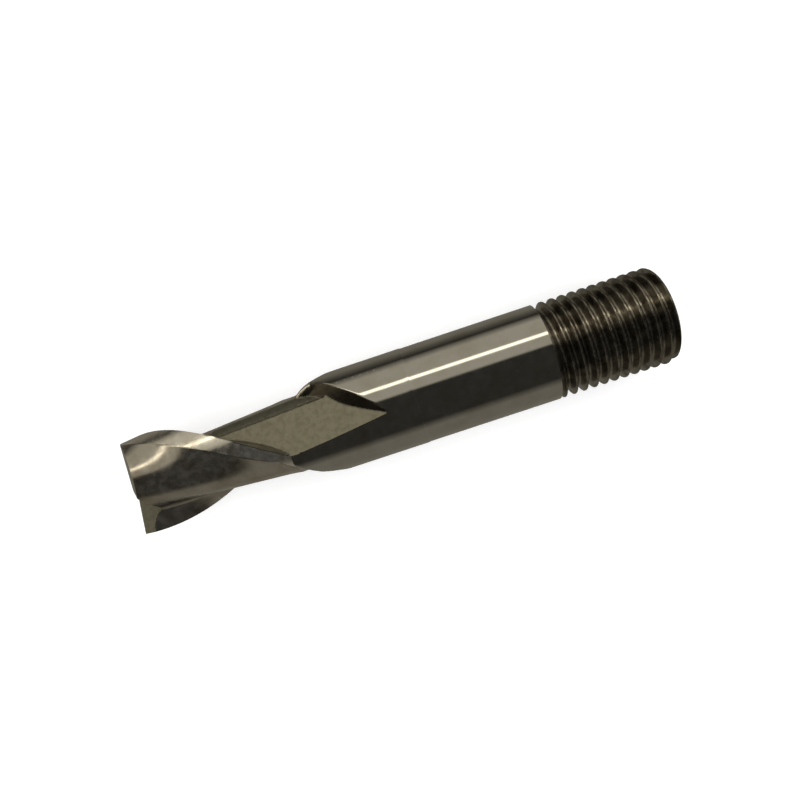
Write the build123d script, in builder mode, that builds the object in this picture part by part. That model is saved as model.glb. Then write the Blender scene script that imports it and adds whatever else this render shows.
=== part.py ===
from build123d import *
import os
from math import cos, sin, radians, tan

os.makedirs("parts", exist_ok=True)

# A two-flute slot drill: a centre-cutting end mill with a right-hand cut, a right-hand helix
# and a threaded plain shank. It lies along X with its cutting end toward -X and rests on z = 0.
# A "station" is a distance from the cutting corners along the tool's axis.
# Angles turn about the axis from +Y toward +Z, the way the right-hand helix turns from the tip.

full_turn = 360
half_turn = 180
quarter_turn = 90

# Driving dimensions, in millimetres and degrees
overall_length = 67.5
shank_radius = 6.0
weld_station = 36.5
back_taper = 0.005
back_taper_end = 33.6

lead = 59.0
edge_angle_at_tip = -17.0
exit_angle = 50.0
rake_foot_run = 2.7
rake_foot_radius = 3.9
flute_floor_length = 11.0
flute_wall_rise = 1.4
flute_wall_run = 3.6
core_radius_at_tip = 3.03
core_climb = 0.0636

land_angle = 22.0
land_drop = 0.42
land_end = 20.85
back_foot_angle = 88.0
back_foot_radius = 4.35
back_middle_angle = 125.0
back_middle_radius = 4.72

flat_normal_angle = 68.6
flat_height_at_tip = 2.883
flat_climb = 0.0697
flat_corner_station = 24.7
flat_corner_offset = -1.71
flat_run_angle = 29.4
flat_width = 6.45
flat_wall_lean = 1.1

fade_angle = -12.0
fade_start = 20.0
fade_end = 28.6
fade_depth = 1.85
fade_radius = 22.0

end_edge_angle = -9.7
end_clearance = 7.0
end_dish = 2.5
end_heel_clearance = 30.0
end_heel_width = 1.5
gash_rise = 40.0
gash_web = 0.3
gash_side_draft = 2.0

thread_pitch = 1.27
thread_major = 11.9
thread_depth = 0.813
thread_flank = 27.5
thread_start = 53.0
thread_neck = 0.6
thread_root_flat = 0.2
thread_clearance = 0.05
thread_angle = 33.0
rear_edge_radius = 0.8
centre_mouth = 5.3
centre_half_angle = 30.0
centre_pilot = 2.5
centre_pilot_depth = 6.0
centre_pilot_point = 0.8

cutter_reach = 8.5
overrun = 2.0

half_length = overall_length / 2
turn_per_mm = full_turn / lead
tool_axis = Axis((0, 0, shank_radius), (1, 0, 0))


def radial(angle):
    """The direction square to the axis at an angle."""
    return Vector(0, cos(radians(angle)), sin(radians(angle)))


def on_axis(station):
    return Vector(station - half_length, 0, shank_radius)


def across(station, angle=0.0):
    """The plane square to the axis at a station, its x direction at an angle."""
    return Plane(origin=on_axis(station), x_dir=radial(angle), z_dir=(1, 0, 0))


def along(angle):
    """The plane through the axis at an angle: its x is the station, its y the radius."""
    return Plane(origin=on_axis(0), x_dir=(1, 0, 0), z_dir=Vector(1, 0, 0).cross(radial(angle)))


def back_to_tip(station, angle, length):
    """A right-hand helix of the flutes' lead that starts at a station and runs toward the tip."""
    start = Plane(origin=on_axis(station), x_dir=radial(angle), z_dir=(-1, 0, 0))
    return start.location * Helix(pitch=lead, height=length, radius=shank_radius, mode=Mode.PRIVATE)


def polar(radius, angle):
    return (radius * cos(radians(angle)), radius * sin(radians(angle)))


# The main cut of one flute: rake face, floor and far wall, as they stand in the plane where the
# grinding wheel stops turning with the tool. Its floor is the cone of the thickening core.
edge_station = (exit_angle - edge_angle_at_tip) / turn_per_mm
rake_slope = rake_foot_run / (shank_radius - rake_foot_radius)
wall_slope = flute_wall_run / flute_wall_rise
foot_station = edge_station + rake_foot_run
wall_foot_station = foot_station + flute_floor_length
wall_foot_radius = core_radius_at_tip + core_climb * wall_foot_station
core_overlap = 1.0
with BuildPart() as flute:
    with BuildSketch(along(exit_angle)):
        with BuildLine():
            Polyline(
                (edge_station - (cutter_reach - shank_radius) * rake_slope, cutter_reach),
                (edge_station, shank_radius),
                (foot_station + core_overlap * rake_slope / 2, rake_foot_radius - core_overlap),
                (wall_foot_station - core_overlap * wall_slope, wall_foot_radius - core_overlap),
                (wall_foot_station + (cutter_reach - wall_foot_radius) * wall_slope, cutter_reach),
                close=True,
            )
        make_face()
    sweep(path=back_to_tip(foot_station, exit_angle, lead / 2 + overrun), is_frenet=True)
    with BuildSketch(along(exit_angle)):
        with BuildLine():
            Polyline(
                (-lead / 2, 0),
                (-lead / 2, core_radius_at_tip - core_climb * lead / 2),
                (weld_station, core_radius_at_tip + core_climb * weld_station),
                (weld_station, 0),
                close=True,
            )
        make_face()
    revolve(axis=tool_axis, mode=Mode.SUBTRACT)

# The relief behind the other tooth's edge: its land and its rounded back.
heel_angle = half_turn - land_angle
outside_middle_angle = (back_foot_angle + half_turn) / 2
with BuildPart() as relief:
    with BuildSketch(across(land_end, edge_angle_at_tip + land_end * turn_per_mm)):
        with BuildLine():
            edge_point = polar(shank_radius, -half_turn)
            heel_point = polar(shank_radius - land_drop, -heel_angle)
            back_foot = polar(back_foot_radius, -back_foot_angle)
            back_outside = polar(cutter_reach, -back_foot_angle)
            edge_outside = polar(cutter_reach, -half_turn)
            Line(edge_outside, edge_point)
            Line(edge_point, heel_point)
            ThreePointArc(heel_point, polar(back_middle_radius, -back_middle_angle), back_foot)
            Line(back_foot, back_outside)
            ThreePointArc(back_outside, polar(cutter_reach, -outside_middle_angle), edge_outside)
        make_face()
    sweep(
        path=back_to_tip(land_end, edge_angle_at_tip + land_end * turn_per_mm, land_end + overrun),
        is_frenet=True,
    )

# The flat the wheel leaves when it stops turning with the tool and runs out straight.
flat_normal = (radial(flat_normal_angle) - Vector(flat_climb, 0, 0)).normalized()
flat_side = radial(flat_normal_angle + quarter_turn)
corner_height = flat_height_at_tip + flat_climb * flat_corner_station
flat_corner = (
    on_axis(flat_corner_station)
    + radial(flat_normal_angle) * corner_height
    + flat_side * flat_corner_offset
)
flat_axial = flat_normal.cross(flat_side)
flat_run = flat_axial * cos(radians(flat_run_angle)) + flat_side * sin(radians(flat_run_angle))
toward_edge = flat_run.cross(flat_normal)
with BuildPart() as flat:
    with BuildSketch(Plane(origin=flat_corner, x_dir=toward_edge, z_dir=-flat_run)):
        with BuildLine():
            Polyline(
                (0, 0),
                (flat_width, 0),
                (flat_width, shank_radius),
                (-flat_wall_lean * shank_radius, shank_radius),
                close=True,
            )
        make_face()
    extrude(amount=2 * shank_radius, both=True)

# Where the relief wheel lifts out: a shallow hollow that fades to nothing on the shank.
with BuildPart() as fade:
    fade_plane = along(fade_angle)
    with BuildSketch(Plane(origin=on_axis(fade_start), x_dir=(1, 0, 0), z_dir=fade_plane.z_dir)):
        with BuildLine():
            fade_length = fade_end - fade_start
            deep_end = (-overrun, shank_radius - fade_depth)
            shallow_end = (fade_length, shank_radius)
            RadiusArc(deep_end, shallow_end, fade_radius)
            Polyline(
                shallow_end,
                (fade_length, cutter_reach),
                (-overrun, cutter_reach),
                deep_end,
            )
        make_face()
    extrude(amount=2 * shank_radius, both=True)

# The end relief of one tooth: a narrow primary clearance and a steeper secondary one, dished
# so that the corner leads the centre.
end_edge = radial(end_edge_angle) - Vector(tan(radians(end_dish)), 0, 0)
end_back = radial(end_edge_angle + quarter_turn)
dish_depth = shank_radius * tan(radians(end_dish))
primary_drop = end_heel_width * tan(radians(end_clearance))
secondary_drop = primary_drop + (cutter_reach - end_heel_width) * tan(radians(end_heel_clearance))
with BuildPart() as end_face:
    with BuildSketch(Plane(origin=on_axis(dish_depth), x_dir=end_back, z_dir=end_edge.normalized())):
        with BuildLine():
            Polyline(
                (0, 0),
                (end_heel_width, primary_drop),
                (cutter_reach, secondary_drop),
                (cutter_reach, -overrun),
                (0, -overrun),
                close=True,
            )
        make_face()
    extrude(amount=cutter_reach, both=True)

# The gash of one tooth: a nearly square notch that opens the end edge to the centre.
gash_run = radial(end_edge_angle) * cos(radians(gash_rise)) + Vector(sin(radians(gash_rise)), 0, 0)
gash_side = radial(end_edge_angle - quarter_turn)
gash_start = on_axis(dish_depth) + radial(end_edge_angle) * gash_web
with BuildPart() as gash:
    with BuildSketch(Plane(origin=gash_start, x_dir=gash_side, z_dir=gash_run)):
        with BuildLine():
            Polyline(
                (0, 0),
                (cutter_reach, cutter_reach * tan(radians(gash_side_draft))),
                (cutter_reach, cutter_reach),
                (0, cutter_reach),
                close=True,
            )
        make_face()
    extrude(amount=cutter_reach)

# The back taper: the fluted length gets slightly thinner away from the cutting corners.
with BuildPart() as taper:
    with BuildSketch(along(exit_angle)):
        with BuildLine():
            Polyline(
                (-overrun, cutter_reach),
                (-overrun, shank_radius),
                (0, shank_radius),
                (back_taper_end, shank_radius - back_taper),
                (back_taper_end, cutter_reach),
                close=True,
            )
        make_face()
    revolve(axis=tool_axis)

# The cutting head: both teeth are cut alike, half a turn apart.
with BuildPart() as cutter_head:
    with BuildSketch(across(0)):
        Circle(shank_radius)
    extrude(amount=weld_station)
    for cut in (end_face, gash, flute, relief, flat, fade):
        add(cut.part, mode=Mode.SUBTRACT)
        add(cut.part.rotate(tool_axis, half_turn), mode=Mode.SUBTRACT)
    add(taper.part, mode=Mode.SUBTRACT)
cutter_head.part.label = "cutter_head"
export_step(cutter_head.part, "parts/cutter_head.step")

# The thread's groove, run from behind the rear face to the neck in front of the thread.
major_radius = thread_major / 2
root_radius = major_radius - thread_depth
groove_from = overall_length + thread_pitch
groove_root_half = thread_root_flat / 2
groove_top_half = groove_root_half + (thread_depth + thread_clearance) * tan(radians(thread_flank))
groove_plane = Plane(origin=on_axis(groove_from), x_dir=radial(thread_angle), z_dir=(-1, 0, 0))
groove_path = groove_plane.location * Helix(
    pitch=thread_pitch,
    height=groove_from - thread_start + thread_pitch,
    radius=major_radius,
    mode=Mode.PRIVATE,
)
with BuildPart() as thread_groove:
    with BuildSketch(along(thread_angle)):
        with BuildLine():
            Polyline(
                (groove_from - groove_root_half, root_radius),
                (groove_from - groove_top_half, major_radius + thread_clearance),
                (groove_from + groove_top_half, major_radius + thread_clearance),
                (groove_from + groove_root_half, root_radius),
                close=True,
            )
        make_face()
    sweep(path=groove_path, is_frenet=True)

# The threaded shank: the thread, the centre hole in its rear face, and the plain ground length.
neck_end = thread_start + thread_neck
cone_depth = (centre_mouth - centre_pilot) / 2 / tan(radians(centre_half_angle))
pilot_end = overall_length - centre_pilot_depth
with BuildPart() as threaded_shank:
    with BuildSketch(across(neck_end, quarter_turn)):
        Circle(major_radius)
    extrude(amount=overall_length - neck_end)
    add(thread_groove.part, mode=Mode.SUBTRACT)
    with BuildSketch(along(quarter_turn)):
        with BuildLine():
            rounding_start = (overall_length - rear_edge_radius, major_radius)
            rounding_end = (overall_length, major_radius - rear_edge_radius)
            RadiusArc(rounding_start, rounding_end, rear_edge_radius)
            Polyline(
                rounding_end,
                (overall_length + overrun, major_radius - rear_edge_radius),
                (overall_length + overrun, cutter_reach),
                (overall_length - rear_edge_radius, cutter_reach),
                rounding_start,
            )
        make_face()
    revolve(axis=tool_axis, mode=Mode.SUBTRACT)
    with BuildSketch(along(quarter_turn)):
        with BuildLine():
            Polyline(
                (overall_length, 0),
                (overall_length, centre_mouth / 2),
                (overall_length - cone_depth, centre_pilot / 2),
                (pilot_end, centre_pilot / 2),
                (pilot_end - centre_pilot_point, 0),
                close=True,
            )
        make_face()
    revolve(axis=tool_axis, mode=Mode.SUBTRACT)
    with BuildSketch(across(thread_start)):
        Circle(root_radius - thread_clearance)
    extrude(amount=thread_neck)
    with BuildSketch(across(weld_station)):
        Circle(shank_radius)
    extrude(amount=thread_start - weld_station)
threaded_shank.part.label = "threaded_shank"
export_step(threaded_shank.part, "parts/threaded_shank.step")
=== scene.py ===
import math

import bpy
import bmesh
import numpy as np
from mathutils import Matrix, Vector


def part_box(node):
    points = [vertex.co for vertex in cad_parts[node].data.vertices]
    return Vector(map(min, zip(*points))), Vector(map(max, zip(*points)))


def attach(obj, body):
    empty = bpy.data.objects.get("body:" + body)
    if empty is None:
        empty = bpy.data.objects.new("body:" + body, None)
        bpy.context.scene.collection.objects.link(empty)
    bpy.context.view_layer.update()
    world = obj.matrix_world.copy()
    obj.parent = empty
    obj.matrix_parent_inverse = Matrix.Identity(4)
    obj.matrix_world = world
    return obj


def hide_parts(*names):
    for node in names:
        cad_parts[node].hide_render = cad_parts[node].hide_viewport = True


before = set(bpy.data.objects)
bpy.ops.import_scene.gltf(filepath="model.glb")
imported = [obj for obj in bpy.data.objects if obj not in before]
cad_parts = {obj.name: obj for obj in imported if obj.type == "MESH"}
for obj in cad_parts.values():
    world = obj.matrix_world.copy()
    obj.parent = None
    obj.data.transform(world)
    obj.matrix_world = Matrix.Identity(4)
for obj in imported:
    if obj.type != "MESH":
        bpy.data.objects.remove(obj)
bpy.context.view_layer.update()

# The tool lies along X, its cutting end toward -X. Inside the shape functions, lengths are in
# millimetres and a station is a distance from the cutting corners along the axis. Angles are in
# degrees about the axis, from +Y toward +Z.
MM = 0.001
head_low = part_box("cutter_head")[0]
shank_low, shank_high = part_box("threaded_shank")
TIP_X = head_low[0]
AXIS_Z = (shank_low[2] + shank_high[2]) / 2
SHANK_RADIUS = (shank_high[2] - shank_low[2]) / 2 / MM
WELD_STATION = (shank_low[0] - TIP_X) / MM
LENGTH = (shank_high[0] - TIP_X) / MM

# The flutes: the helix of the cutting edges, and the angles where each flute's cuts change.
LEAD = 59.0
TURN_PER_MM = 360 / LEAD
EDGE_ANGLE = -17.0
LAND_END = 20.85
EXIT_ANGLE = 50.0
FLAT_ANGLE = 68.6
FLUTE_REACH = 215.0

# The core, the flat and the rake face.
CORE_RADIUS = 3.03
CORE_CLIMB = 0.0636
CORE_MARGIN = 0.08
FLAT_HEIGHT = 2.883
FLAT_CLIMB = 0.0697
FLAT_SPREAD = 0.2
RAKE_DEPTH = 2.5
RAKE_CURL = 3.2

# The land and the rounded back behind it.
LAND_SLOPE = 0.0172
LAND_LIMIT = 60.0
LAND_WIDTH_STATIONS = (0, 3.5, LAND_END)
LAND_WIDTHS = (26, 26, 15)
BACK_ROUNDING = 0.95
BACK_CURL = 20.0
BACK_SLOPE = 0.0167
BACK_BEND = 12.0
BACK_BEND_AT = 48.0
LIFT_START = 19.3
LIFT_LENGTH = 1.6
STEEPNESS_STATIONS = (8, LIFT_START, 20.9, 22.5, 23.6, 24.7, 25.9)
STEEPNESSES = (1.0, 1.2, 1.39, 1.8, 1.79, 1.55, 1.34)
LIFT_ANGLE_STATIONS = (LAND_END, 23.4, 25.3, 26.2, 27.0, 29.1)
LIFT_ANGLES = (166, 156, 155, 150, 148, 160)

# The fade, the wall at the flute's far end and the fillets between the cuts.
FADE_LIMIT = 29.1
FADE_SKEW = 0.128
FADE_RADIUS = 6.02
FADE_REACH_ANGLES = (0, 15, 30)
FADE_REACHES = (19, 11, 5)
FADE_TO_WALL_ANGLE = 26.0
FADE_TO_WALL_SPREAD = 8.0
WALL_START = 25.9
WALL_START_ANGLE = 31.8
WALL_SKEW = 0.109
WALL_BOW = 0.35
WALL_MIDDLE_ANGLE = 64.7
WALL_HALF_ANGLE = 32.9
WALL_LEAN_ANGLES = (30, 35, 50, 69, 90)
WALL_LEANS = (0.80, 0.75, 0.65, 0.54, 0.51)
EXIT_SPREAD = 3.0
WIDE_FILLET = 0.5
NARROW_FILLET = 0.25
UNCUT = 9.0
NEARLY_UNCUT = 6.3

# The end relief and the gash of each tooth.
END_EDGE_ANGLE = -9.7
END_DISH = 2.5
END_CLEARANCE = 7.0
END_HEEL_CLEARANCE = 30.0
END_HEEL_WIDTH = 1.5
END_OVERLAP = 0.013
END_REACH = 8.5
END_HEIGHT = 3.0
END_SPAN = (-8.53, 8.47)
GASH_RISE = 40.0
GASH_WEB = 0.3
GASH_OFFSET = 0.25
GASH_SPAN = (-0.3, 9.0)
GASH_WIDTH = 9.0
GASH_DRAFT = 0.3
GASH_HEIGHT = 6.0

# The thread, its neck, the rear rim and the centre hole.
THREAD_PITCH = 1.27
THREAD_RADIUS = 5.95
THREAD_DEPTH = 0.813
THREAD_START = 53.0
THREAD_FLANK = 27.5
THREAD_ROUNDING = 0.16
NECK_LENGTH = 0.45
REAR_ROUNDING = 0.8
CENTRE_MOUTH = 2.65
CENTRE_CHAMFER_DEPTH = 0.05
CENTRE_CHAMFER_WIDTH = 0.15
CENTRE_PILOT = 1.25
CENTRE_HALF_ANGLE = 30.0
CENTRE_DEPTH = 6.0
CENTRE_POINT = 0.7

# The grids of the two meshes, in rings along the axis and columns about it.
HEAD_RINGS = 300
HEAD_COLUMNS = 324
HEAD_OVERHANG = 0.6
HEAD_FINE_END = 33.6
HEAD_COARSE_START = 34.2
HEAD_COARSE_RINGS = 4
STEP_HALF_WIDTH = 0.01
LAG_ANGLE = 2.1
LAG_LENGTH = 1.5
SHANK_COLUMNS = 200
PLAIN_RINGS = 16
THREAD_STEP = 0.045
RING_GAP = 0.02
RIM_RINGS = 10
RIM_FIRST_ANGLE = 30
WELD_RING = 3.0
TIP_RING = 2.0
SHARP_ANGLE = 28.0


def soft_max(a, b, blend):
    """The larger of two radii, with a fillet about as large as blend where they cross."""
    mix = np.clip(0.5 + 0.5 * (a - b) / blend, 0, 1)
    return b + (a - b) * mix + blend * mix * (1 - mix) * 0.5


def flat_radius(station, turned):
    """Distance from the axis to the flat that the wheel leaves as it runs out straight."""
    height = FLAT_HEIGHT + FLAT_CLIMB * station
    return height / np.maximum(np.cos(np.radians(turned - FLAT_ANGLE)), FLAT_SPREAD)


def back_radius(station, ahead):
    """The rounded back, from the other tooth's heel down to the gullet."""
    land_width = np.interp(station, LAND_WIDTH_STATIONS, LAND_WIDTHS)
    heel = SHANK_RADIUS - LAND_SLOPE * land_width
    steepness = np.interp(station, STEEPNESS_STATIONS, STEEPNESSES)
    lift_angle = np.interp(station, LIFT_ANGLE_STATIONS, LIFT_ANGLES)
    from_heel = np.where(station < LAND_END, 180 - land_width, lift_angle) - ahead
    top = heel + (SHANK_RADIUS - heel) * np.clip((station - LIFT_START) / LIFT_LENGTH, 0, 1)
    rounding = BACK_ROUNDING * (1 - np.exp(-from_heel / BACK_CURL))
    descent = BACK_SLOPE * BACK_BEND * np.logaddexp(0, (from_heel - BACK_BEND_AT) / BACK_BEND)
    return np.where(from_heel > -1, top - steepness * (rounding + descent), UNCUT)


def cuts(station, angle):
    """Radii left by one flute's main cut and by the land behind its edge."""
    edge = EDGE_ANGLE + TURN_PER_MM * station
    ahead = np.mod(edge - angle, 360)
    turned = edge - ahead

    rake = SHANK_RADIUS - RAKE_DEPTH * (1 - np.exp(-ahead / RAKE_CURL))
    core = CORE_RADIUS + CORE_CLIMB * station
    back = np.minimum(back_radius(station, ahead), UNCUT)
    gullet = soft_max(core + CORE_MARGIN, back, WIDE_FILLET)

    # Where the relief wheel lifts out, a shallow hollow fades to nothing on the shank.
    fade_end = FADE_LIMIT - FADE_SKEW * turned
    fade_reach = np.interp(turned, FADE_REACH_ANGLES, FADE_REACHES)
    hollow = FADE_RADIUS - (fade_end - station) ** 2 / fade_reach
    fade = np.where(station < fade_end, hollow, UNCUT)

    # The wall at the flute's far end, which stands at a lean above the flat.
    bow = WALL_BOW * (1 - ((turned - WALL_MIDDLE_ANGLE) / WALL_HALF_ANGLE) ** 2)
    wall_end = WALL_START + WALL_SKEW * (turned - WALL_START_ANGLE) + bow
    wall = SHANK_RADIUS - np.interp(turned, WALL_LEAN_ANGLES, WALL_LEANS) * (wall_end - station)

    past_fade = np.clip((turned - FADE_TO_WALL_ANGLE) / FADE_TO_WALL_SPREAD, 0, 1)
    run_out = (
        np.minimum(fade, NEARLY_UNCUT) * (1 - past_fade)
        + np.minimum(wall, NEARLY_UNCUT) * past_fade
    )
    before = soft_max(gullet, run_out, NARROW_FILLET)
    after = soft_max(flat_radius(station, turned), wall, NARROW_FILLET)
    past_exit = np.clip((turned - EXIT_ANGLE + EXIT_SPREAD / 2) / EXIT_SPREAD, 0, 1)
    main = soft_max(rake, before + (after - before) * past_exit, WIDE_FILLET)
    main = np.where(ahead < FLUTE_REACH, main, UNCUT)

    behind = 360 - ahead
    on_land = (behind < LAND_LIMIT) & (station < LAND_END)
    land = np.where(on_land, SHANK_RADIUS - LAND_SLOPE * behind, UNCUT)
    return main, land


def head_radius(station, angle):
    """The least radius that the cuts of both flutes leave."""
    radius = np.full(station.shape, SHANK_RADIUS)
    for turn in (0, 180):
        for cut in cuts(station, angle - turn):
            radius = np.minimum(radius, cut)
    return radius


def thread_radius(station, angle):
    """Rounded 55 degree thread with a square-ended neck in front and a rounded rear rim."""
    turns = (station - THREAD_START) / THREAD_PITCH - angle / 360
    from_crest = np.abs(np.mod(turns + 0.5, 1) - 0.5) * THREAD_PITCH
    flank = THREAD_RADIUS + THREAD_ROUNDING - from_crest / math.tan(math.radians(THREAD_FLANK))
    crest = -soft_max(-flank, np.full_like(flank, -THREAD_RADIUS), THREAD_ROUNDING)
    root = THREAD_RADIUS - THREAD_DEPTH
    thread = soft_max(crest, np.full_like(flank, root), THREAD_ROUNDING)
    neck = np.where(station < THREAD_START + NECK_LENGTH, root, UNCUT)
    blank = np.where(station < THREAD_START, SHANK_RADIUS, np.minimum(thread, neck))
    into_rim = np.clip(station - (LENGTH - REAR_ROUNDING), 0, REAR_ROUNDING)
    rim = THREAD_RADIUS - REAR_ROUNDING + np.sqrt(np.maximum(REAR_ROUNDING**2 - into_rim**2, 0))
    return np.minimum(blank, rim)


def place(station, radius, angle):
    """Points in the scene, in metres, from stations, radii and angles."""
    return np.stack(
        [
            TIP_X + station * MM,
            radius * np.cos(np.radians(angle)) * MM,
            AXIS_Z + radius * np.sin(np.radians(angle)) * MM,
        ],
        axis=-1,
    )


def closed_piece(name, vertices, faces):
    """An object with a closed mesh whose faces all look outward."""
    mesh = bpy.data.meshes.new(name)
    mesh.from_pydata(vertices, [], faces)
    mesh.validate()
    shell = bmesh.new()
    shell.from_mesh(mesh)
    bmesh.ops.recalc_face_normals(shell, faces=shell.faces)
    shell.to_mesh(mesh)
    shell.free()
    made = bpy.data.objects.new(name, mesh)
    bpy.context.scene.collection.objects.link(made)
    return made


def turned_mesh(name, stations, angles, radii, start_cap, end_cap):
    """A closed piece made of rings, one for each row of angles and radii.

    Each cap is a list of extra (station, radius) rings that ends on the axis.
    """
    count = angles.shape[1]

    def ring(station, radius, row):
        return place(np.full(count, station), np.full(count, radius), angles[row])

    def centre(cap):
        return place(np.array([cap[-1][0]]), np.array([0.0]), np.array([0.0]))

    rings = [ring(station, radius, 0) for station, radius in reversed(start_cap[:-1])]
    for station, radius, angle in zip(stations, radii, angles):
        rings.append(place(np.full(count, station), radius, angle))
    rings += [ring(station, radius, -1) for station, radius in end_cap[:-1]]
    grid = np.concatenate(rings)
    vertices = np.concatenate([grid, centre(start_cap), centre(end_cap)])

    row_start = (np.arange(len(rings) - 1) * count)[:, None]
    here = np.arange(count)[None, :]
    after = np.roll(np.arange(count), -1)[None, :]
    next_row = row_start + count
    corners = [row_start + here, row_start + after, next_row + after, next_row + here]
    faces = np.stack(corners, axis=-1).reshape(-1, 4).tolist()
    first_centre = len(grid)
    last_ring = first_centre - count
    for column in range(count):
        following = (column + 1) % count
        faces.append([first_centre, following, column])
        faces.append([first_centre + 1, last_ring + column, last_ring + following])
    return closed_piece(name, vertices.tolist(), faces)


def prism(name, origin, across, up, along, outline, first, last):
    """A closed prism: an outline in the plane of across and up, drawn out along a direction."""
    vertices = [
        origin + across * u + up * v + along * w for w in (first, last) for u, v in outline
    ]
    count = len(outline)
    faces = [list(range(count)), list(range(count, 2 * count))]
    for corner in range(count):
        following = (corner + 1) % count
        faces.append([corner, following, count + following, count + corner])
    return closed_piece(name, [tuple(v * MM) for v in vertices], faces)


def radial(angle):
    """The unit vector that points away from the axis at an angle."""
    return np.array([0.0, math.cos(math.radians(angle)), math.sin(math.radians(angle))])


def subtract(piece, cutter):
    """Cuts one closed piece out of another and removes the cutter."""
    cut = piece.modifiers.new("cut", "BOOLEAN")
    cut.operation = "DIFFERENCE"
    cut.solver = "EXACT"
    cut.object = cutter
    evaluated = piece.evaluated_get(bpy.context.evaluated_depsgraph_get())
    mesh = bpy.data.meshes.new_from_object(evaluated)
    piece.modifiers.clear()
    piece.data = mesh
    bpy.data.objects.remove(cutter)


def end_cutters(angle):
    """The end relief and the gash of the tooth whose cutting corner is at an angle."""
    axis = np.array([1.0, 0.0, 0.0])
    start = np.array([TIP_X / MM, 0.0, AXIS_Z / MM])

    # The relief's top follows the dished end edge and falls away behind it in two steps.
    dish = math.tan(math.radians(END_DISH))
    edge = radial(angle) - axis * dish
    edge = edge / np.linalg.norm(edge)
    primary = END_HEEL_WIDTH * math.tan(math.radians(END_CLEARANCE))
    heel_reach = END_REACH - END_HEEL_WIDTH
    secondary = primary + heel_reach * math.tan(math.radians(END_HEEL_CLEARANCE))
    relief_outline = [
        (-END_OVERLAP, 0),
        (END_HEEL_WIDTH, primary),
        (END_REACH, secondary),
        (END_REACH, -END_HEIGHT),
        (-END_OVERLAP, -END_HEIGHT),
    ]
    relief = prism(
        "relief", start + axis * SHANK_RADIUS * dish, radial(angle + 90), axis, edge,
        relief_outline, *END_SPAN,
    )

    # The gash is a square notch that rises from the web in front of the end edge.
    rise = math.radians(GASH_RISE)
    run = radial(angle) * math.cos(rise) + axis * math.sin(rise)
    up = radial(angle) * math.sin(rise) - axis * math.cos(rise)
    gash_outline = [(0, 0), (GASH_WIDTH, GASH_DRAFT), (GASH_WIDTH, GASH_HEIGHT), (0, GASH_HEIGHT)]
    gash = prism(
        "gash", start + axis * GASH_WEB + radial(angle) * GASH_OFFSET, radial(angle - 90), up, run,
        gash_outline, *GASH_SPAN,
    )
    return relief, gash


def build_head():
    """The head: its columns follow the cutting edges, then the border of the run-out flats."""
    fine = np.linspace(-HEAD_OVERHANG, HEAD_FINE_END, HEAD_RINGS)
    near_step = np.array([LAND_END - STEP_HALF_WIDTH, LAND_END + STEP_HALF_WIDTH])
    coarse = np.linspace(HEAD_COARSE_START, WELD_STATION, HEAD_COARSE_RINGS)
    stations = np.sort(np.concatenate([fine, near_step, coarse]))
    columns = np.arange(HEAD_COLUMNS) / HEAD_COLUMNS * 360
    flat_half_angle = np.degrees(np.arccos((FLAT_HEIGHT + FLAT_CLIMB * stations) / SHANK_RADIUS))
    lag = LAG_ANGLE * np.clip(1 - (stations - LAND_END) / LAG_LENGTH, 0, 1)
    on_edge = EDGE_ANGLE + TURN_PER_MM * stations
    twist = np.where(stations < LAND_END, on_edge, FLAT_ANGLE + flat_half_angle - lag)
    angles = twist[:, None] - columns[None, :]
    radii = head_radius(np.repeat(stations[:, None], len(columns), 1), angles)
    start_cap = [(stations[0], TIP_RING), (stations[0], 0.0)]
    end_cap = [(WELD_STATION, WELD_RING), (WELD_STATION, 0.0)]
    made = turned_mesh("cutter_head_ground", stations, angles, radii, start_cap, end_cap)
    edges = (END_EDGE_ANGLE, END_EDGE_ANGLE + 180)
    reliefs, gashes = zip(*(end_cutters(angle) for angle in edges))
    for cutter in gashes + reliefs:
        subtract(made, cutter)
    return made


def build_shank():
    """The shank: plain length, neck, thread, rear rim and the centre hole in the rear face."""
    plain = np.linspace(WELD_STATION, THREAD_START - RING_GAP, PLAIN_RINGS)
    thread = np.arange(THREAD_START, LENGTH, THREAD_STEP)
    rim_angles = np.radians(np.linspace(RIM_FIRST_ANGLE, 90, RIM_RINGS))
    rim = LENGTH - REAR_ROUNDING * (1 - np.sin(rim_angles))
    thread = thread[thread < rim[0] - RING_GAP]
    stations = np.concatenate([plain, thread, rim])
    columns = -np.arange(SHANK_COLUMNS) / SHANK_COLUMNS * 360
    angles = np.repeat(columns[None, :], len(stations), 0)
    radii = thread_radius(np.repeat(stations[:, None], len(columns), 1), angles)
    start_cap = [(WELD_STATION, WELD_RING), (WELD_STATION, 0.0)]
    cone_depth = (CENTRE_MOUTH - CENTRE_PILOT) / math.tan(math.radians(CENTRE_HALF_ANGLE))
    end_cap = [
        (LENGTH, CENTRE_MOUTH + CENTRE_CHAMFER_WIDTH),
        (LENGTH - CENTRE_CHAMFER_DEPTH, CENTRE_MOUTH),
        (LENGTH - cone_depth, CENTRE_PILOT),
        (LENGTH - CENTRE_DEPTH, CENTRE_PILOT),
        (LENGTH - CENTRE_DEPTH - CENTRE_POINT, 0.0),
    ]
    return turned_mesh("threaded_shank_ground", stations, angles, radii, start_cap, end_cap)


head = build_head()
shank = build_shank()
for piece, node, slot in (
    (head, "cutter_head", "cutter_steel"),
    (shank, "threaded_shank", "shank_steel"),
):
    piece.data.shade_smooth()
    piece.data.set_sharp_from_angle(angle=math.radians(SHARP_ANGLE))
    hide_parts(node)
    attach(piece, "root")


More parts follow.
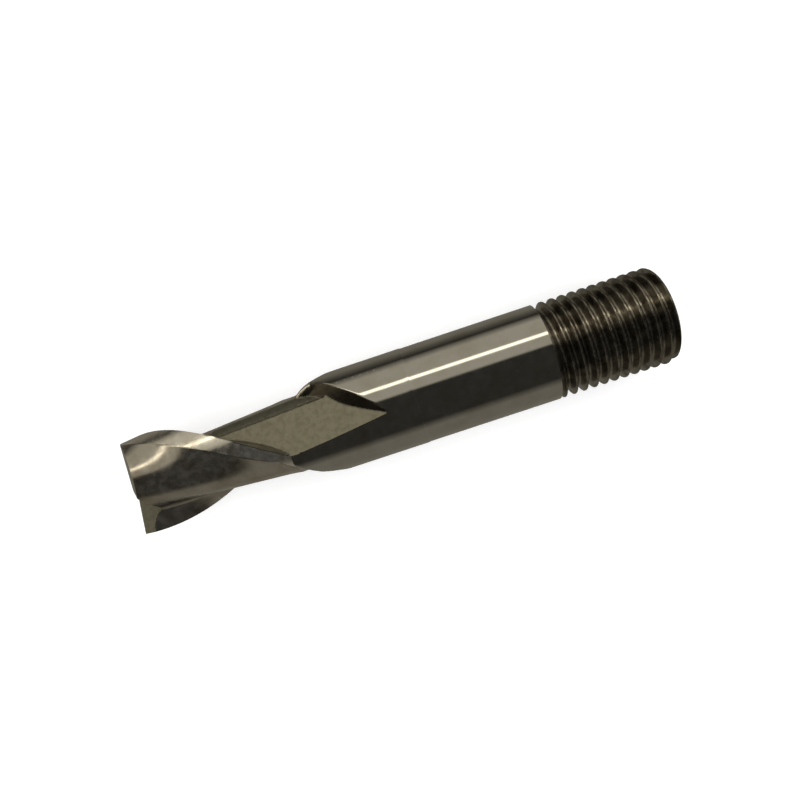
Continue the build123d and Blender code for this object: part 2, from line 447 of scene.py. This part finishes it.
class Finish:
    """How one kind of surface looks.

    bright and stain are colours, rough is a range, grain is per mm along X and across it, depth is
    the grain's in mm, blotch is per mm, and reach is how far the stain goes, from 0 to 1.
    """

    def __init__(self, bright, stain, rough, grain, depth, blotch, reach):
        self.bright = bright
        self.stain = stain
        self.rough = rough
        self.grain = grain
        self.depth = depth
        self.blotch = blotch
        self.reach = reach


FINISHES = {
    "ground_shank": Finish(
        bright=(0.56, 0.55, 0.53), stain=(0.46, 0.43, 0.38), rough=(0.05, 0.10),
        grain=(14, 0.5), depth=0.0002, blotch=0.35, reach=0.5,
    ),
    "polished_flute": Finish(
        bright=(0.54, 0.51, 0.46), stain=(0.34, 0.29, 0.23), rough=(0.12, 0.24),
        grain=(1.2, 9), depth=0.0012, blotch=0.4, reach=0.6,
    ),
    "satin_flat": Finish(
        bright=(0.225, 0.215, 0.165), stain=(0.165, 0.155, 0.115), rough=(0.40, 0.52),
        grain=(3, 10), depth=0.004, blotch=1.6, reach=0.7,
    ),
    # Painted shade: the wall at the flute's far end gets near-black colours to stand in for the
    # shade on it.
    "shaded_run_out_wall": Finish(
        bright=(0.075, 0.065, 0.048), stain=(0.05, 0.042, 0.03), rough=(0.28, 0.40),
        grain=(5, 5), depth=0.002, blotch=1.0, reach=0.8,
    ),
    # Painted highlight: the land's colours are far lighter than the other ground steel, to stand
    # in for the glints along it.
    "ground_land_with_sheen": Finish(
        bright=(0.86, 0.83, 0.76), stain=(0.50, 0.42, 0.33), rough=(0.15, 0.26),
        grain=(1.5, 7), depth=0.001, blotch=0.5, reach=0.5,
    ),
    "end_ground": Finish(
        bright=(0.52, 0.50, 0.44), stain=(0.24, 0.20, 0.14), rough=(0.25, 0.40),
        grain=(7, 7), depth=0.004, blotch=1.2, reach=0.9,
    ),
    # Painted shade: the thread's colours are far darker than the ground shank's, to stand in for
    # the shade in its grooves; the blotches on it are stains.
    "shaded_thread": Finish(
        bright=(0.30, 0.28, 0.24), stain=(0.07, 0.058, 0.040), rough=(0.14, 0.26),
        grain=(2, 3), depth=0.0012, blotch=0.7, reach=0.8,
    ),
}
SPECKLE_FINENESS = 7
SHINE_FINENESS = 3
SCRATCHES_PER_MM = (0.7, 11.0)
SCRATCH_SHARE = 0.3
WORN_GAIN = 1.35


def steel(name, finish):
    """Steel with ground grain, uneven shine, brown stains, faint scratches and worn edges."""
    material = bpy.data.materials.new(name)
    material.use_nodes = True
    tree = material.node_tree
    shader = tree.nodes["Principled BSDF"]
    shader.inputs["Metallic"].default_value = 1.0
    link = tree.links.new
    coordinates = tree.nodes.new("ShaderNodeTexCoord")
    shape = tree.nodes.new("ShaderNodeNewGeometry")

    def noise(along, across, detail):
        """Noise with so many cells per mm along the tool and across it."""
        mapping = tree.nodes.new("ShaderNodeMapping")
        mapping.inputs["Scale"].default_value = (along / MM, across / MM, across / MM)
        texture = tree.nodes.new("ShaderNodeTexNoise")
        texture.inputs["Scale"].default_value = 1.0
        texture.inputs["Detail"].default_value = detail
        link(coordinates.outputs["Object"], mapping.inputs["Vector"])
        link(mapping.outputs["Vector"], texture.inputs["Vector"])
        return texture.outputs["Fac"]

    def spread(value, between, to):
        """Stretches one range of a value over another, clamped at both ends."""
        node = tree.nodes.new("ShaderNodeMapRange")
        node.inputs["From Min"].default_value = between[0]
        node.inputs["From Max"].default_value = between[1]
        node.inputs["To Min"].default_value = to[0]
        node.inputs["To Max"].default_value = to[1]
        link(value, node.inputs["Value"])
        return node.outputs["Result"]

    def mix(factor, first, last):
        node = tree.nodes.new("ShaderNodeMix")
        node.data_type = "RGBA"
        colour_inputs = [socket for socket in node.inputs if socket.type == "RGBA"]
        for socket, colour in zip(colour_inputs, (first, last)):
            if isinstance(colour, tuple):
                socket.default_value = (*colour, 1)
            else:
                link(colour, socket)
        link(factor, node.inputs["Factor"])
        return next(socket for socket in node.outputs if socket.type == "RGBA")

    blotch = finish.blotch
    speck = blotch * SPECKLE_FINENESS
    shine = blotch * SHINE_FINENESS
    stains = spread(noise(blotch, blotch, 5.0), between=(0.42, 0.66), to=(0.0, finish.reach))
    speckle = spread(noise(speck, speck, 3.0), between=(0.55, 0.75), to=(0.0, 0.3 * finish.reach))
    worn = spread(shape.outputs["Pointiness"], between=(0.56, 0.70), to=(0.0, 0.8))
    stained = mix(stains, finish.bright, finish.stain)
    speckled = mix(speckle, stained, finish.stain)
    worn_colour = tuple(min(1.0, part * WORN_GAIN) for part in finish.bright)
    link(mix(worn, speckled, worn_colour), shader.inputs["Base Color"])
    roughness = spread(noise(shine, shine, 4.0), between=(0.35, 0.65), to=finish.rough)
    link(roughness, shader.inputs["Roughness"])

    lines = noise(*finish.grain, 2.0)
    scratches = noise(*SCRATCHES_PER_MM, 1.0)
    both = tree.nodes.new("ShaderNodeMath")
    both.operation = "MULTIPLY_ADD"
    both.inputs[1].default_value = SCRATCH_SHARE
    link(scratches, both.inputs[0])
    link(lines, both.inputs[2])
    bump = tree.nodes.new("ShaderNodeBump")
    bump.inputs["Distance"].default_value = finish.depth * MM
    link(both.outputs[0], bump.inputs["Height"])
    link(bump.outputs["Normal"], shader.inputs["Normal"])
    return material


HEAD_FINISHES = (
    "end_ground", "polished_flute", "ground_land_with_sheen", "satin_flat", "shaded_run_out_wall", "ground_shank",
)
SHANK_FINISHES = ("ground_shank", "shaded_thread")
for piece, names in ((head, HEAD_FINISHES), (shank, SHANK_FINISHES)):
    piece.data.materials.clear()
    for name in names:
        material = bpy.data.materials.get(name) or steel(name, FINISHES[name])
        piece.data.materials.append(material)


def centres_of(piece):
    """Station, angle and radius of the middle of each face."""
    centres = np.empty(len(piece.data.polygons) * 3)
    piece.data.polygons.foreach_get("center", centres)
    x, y, z = centres.reshape(-1, 3).T / MM
    z = z - AXIS_Z / MM
    return x - TIP_X / MM, np.degrees(np.arctan2(z, y)), np.hypot(y, z)


# How far a face's middle may be from a cut's own radius and still belong to it.
NEAR_LAND = 0.04
NEAR_FLUTE = 0.08
NEAR_FLAT = 0.05
NEAR_GASH = 0.03
NEAR_SHANK = 0.02

# Where each finish may lie, as stations, angles and radii.
GASH_END = 4.5
FLAT_FIRST_STATION = 12.0
FLAT_FIRST_ANGLE = 25.0
FLAT_LARGEST_RADIUS = 4.75
DARK_WALL_STATION = 23.0
DARK_WALL_ANGLE = 30.0
DARK_WALL_RADIUS = 3.8


def mark_head():
    """Gives each face of the head the finish of the cut that made it; the land's finish carries a
    painted highlight and the far-end wall's a painted shade.
    """
    end, flute, land_with_sheen, satin, dark_wall, plain = range(len(HEAD_FINISHES))
    station, angle, radius = centres_of(head)
    finish = np.full(len(station), end)
    for turn in (0, 180):
        main, land = cuts(station, angle - turn)
        ahead = np.mod(EDGE_ANGLE + TURN_PER_MM * station - angle + turn, 360)
        turned = EDGE_ANGLE + TURN_PER_MM * station - ahead
        on_land = (np.abs(radius - land) < NEAR_LAND) & (land < main)
        on_flute = (np.abs(radius - main) < NEAR_FLUTE) & (main < land)
        near_flat = np.abs(radius - flat_radius(station, turned)) < NEAR_FLAT
        flat_start = (station > FLAT_FIRST_STATION) & (radius < FLAT_LARGEST_RADIUS)
        flat_start = flat_start & (turned > FLAT_FIRST_ANGLE)
        on_flat = on_flute & np.where(turned > EXIT_ANGLE, near_flat, flat_start)
        far_end = (station > DARK_WALL_STATION) & (radius > DARK_WALL_RADIUS)
        far_end = far_end & (turned > DARK_WALL_ANGLE) & (ahead > DARK_WALL_ANGLE)
        # The land gets the lighter colours of the painted highlight.
        finish = np.where(on_land, land_with_sheen, finish)
        finish = np.where(on_flute, flute, finish)
        finish = np.where(on_flat, satin, finish)
        # The wall at the flute's far end gets the near-black colours of the painted shade.
        finish = np.where(on_flute & ~on_flat & far_end, dark_wall, finish)

    from_gash = np.abs(radius * np.sin(np.radians(angle - END_EDGE_ANGLE)))
    finish = np.where((station < GASH_END) & (from_gash < NEAR_GASH), satin, finish)
    uncut = (radius > SHANK_RADIUS - NEAR_SHANK) & (station > FLAT_FIRST_STATION)
    finish = np.where(uncut, plain, finish)
    head.data.polygons.foreach_set("material_index", finish.astype(np.int32))


def mark_shank():
    """The thread and all behind it get the darker colours of painted shade, and the rest is ground
    bright.
    """
    bright, thread_shade = range(len(SHANK_FINISHES))
    station, _, _ = centres_of(shank)
    finish = np.where(station > THREAD_START, thread_shade, bright)
    shank.data.polygons.foreach_set("material_index", finish.astype(np.int32))


mark_head()
mark_shank()


FLOOR_HALF_SIZE = 0.6
FLOOR_COLOUR = (0.92, 0.92, 0.92, 1)
FLOOR_GLOW = 0.35


def build_floor():
    """A plain pale floor that the polished steel doesn't reflect."""
    half = FLOOR_HALF_SIZE
    mesh = bpy.data.meshes.new("floor")
    corners = [(-half, -half, 0), (half, -half, 0), (half, half, 0), (-half, half, 0)]
    mesh.from_pydata(corners, [], [(0, 1, 2, 3)])
    floor = bpy.data.objects.new("floor", mesh)
    bpy.context.scene.collection.objects.link(floor)
    material = bpy.data.materials.new("pale_floor")
    material.use_nodes = True
    shader = material.node_tree.nodes["Principled BSDF"]
    shader.inputs["Base Color"].default_value = FLOOR_COLOUR
    shader.inputs["Roughness"].default_value = 0.9
    shader.inputs["Emission Color"].default_value = (1, 1, 1, 1)
    shader.inputs["Emission Strength"].default_value = FLOOR_GLOW
    mesh.materials.append(material)
    floor.visible_glossy = False


SENSOR_WIDTH = 36.0
FOCAL_LENGTH = 655.694 / 800 * SENSOR_WIDTH
CAMERA_TILT = 0.031
CAMERA_ROLL = 18.33
CAMERA_DISTANCE = 79.985
AIM_STATION = 34.6


def build_camera():
    """Looks almost straight down at the tool, from close by, turned about the line of sight."""
    data = bpy.data.cameras.new("camera")
    data.sensor_width = SENSOR_WIDTH
    data.lens = FOCAL_LENGTH
    data.clip_start = 0.001
    camera = bpy.data.objects.new("camera", data)
    bpy.context.scene.collection.objects.link(camera)
    look = np.array([-math.sin(CAMERA_TILT), 0.0, -math.cos(CAMERA_TILT)])
    right = np.array([math.cos(CAMERA_TILT), 0.0, -math.sin(CAMERA_TILT)])
    up = np.array([0.0, 1.0, 0.0])
    roll = math.radians(CAMERA_ROLL)
    camera_x = right * math.cos(roll) - up * math.sin(roll)
    camera_y = right * math.sin(roll) + up * math.cos(roll)
    axes = Matrix((Vector(camera_x), Vector(camera_y), Vector(-look))).transposed().to_4x4()
    target = np.array([TIP_X / MM + AIM_STATION, 0.0, AXIS_Z / MM])
    axes.translation = Vector((target - look * CAMERA_DISTANCE) * MM)
    camera.matrix_world = axes
    bpy.context.scene.camera = camera


# What the polished steel reflects: a plain room with one window, a lit wall round it, a dark side
# and the pale table. Angles are about the tool, from straight up toward +Y.
ROOM_STRENGTH = 4.0
BACKDROP_STRENGTH = 1.08
ROOM_COLOUR = (1.0, 0.93, 0.75)
TABLE = 0.2
DARK_SIDE = 0.03
LIT_WALL = 0.45
WINDOW = 2.5
ROOM = (
    (-90, TABLE),
    (-70, DARK_SIDE),
    (10, DARK_SIDE),
    (15, LIT_WALL),
    (35, LIT_WALL),
    (38, WINDOW),
    (42, WINDOW),
    (45, LIT_WALL),
    (80, LIT_WALL),
    (100, DARK_SIDE),
    (130, TABLE),
)


def build_light():
    """Soft white light from all round. Only the steel's reflections see the room."""
    world = bpy.data.worlds.new("room")
    world.use_nodes = True
    tree = world.node_tree
    tree.nodes.clear()

    def add(kind, **settings):
        node = tree.nodes.new(kind)
        for key, value in settings.items():
            setattr(node, key, value)
        return node

    direction = add("ShaderNodeTexCoord")
    parts = add("ShaderNodeSeparateXYZ")
    angle = add("ShaderNodeMath", operation="ARCTAN2")
    share = add("ShaderNodeMapRange")
    share.inputs["From Min"].default_value = -math.pi
    share.inputs["From Max"].default_value = math.pi
    ramp = add("ShaderNodeValToRGB")
    ramp.color_ramp.interpolation = "LINEAR"
    stops = ramp.color_ramp.elements
    for number, (degrees, level) in enumerate(ROOM):
        position = (degrees + 180) / 360
        stop = stops[number] if number < 2 else stops.new(position)
        stop.position = position
        stop.color = (*(part * level / ROOM_STRENGTH for part in ROOM_COLOUR), 1)
    room = add("ShaderNodeBackground")
    room.inputs["Strength"].default_value = ROOM_STRENGTH
    backdrop = add("ShaderNodeBackground")
    backdrop.inputs["Color"].default_value = (1.0, 1.0, 1.0, 1)
    backdrop.inputs["Strength"].default_value = BACKDROP_STRENGTH
    ray = add("ShaderNodeLightPath")
    choice = add("ShaderNodeMixShader")
    output = add("ShaderNodeOutputWorld")
    link = tree.links.new
    link(direction.outputs["Generated"], parts.inputs[0])
    link(parts.outputs["Y"], angle.inputs[0])
    link(parts.outputs["Z"], angle.inputs[1])
    link(angle.outputs[0], share.inputs["Value"])
    link(share.outputs["Result"], ramp.inputs["Fac"])
    link(ramp.outputs["Color"], room.inputs["Color"])
    link(ray.outputs["Is Glossy Ray"], choice.inputs["Fac"])
    link(backdrop.outputs[0], choice.inputs[1])
    link(room.outputs[0], choice.inputs[2])
    link(choice.outputs[0], output.inputs["Surface"])
    bpy.context.scene.world = world


build_floor()
build_camera()
build_light()
bpy.context.scene.view_settings.view_transform = "Standard"
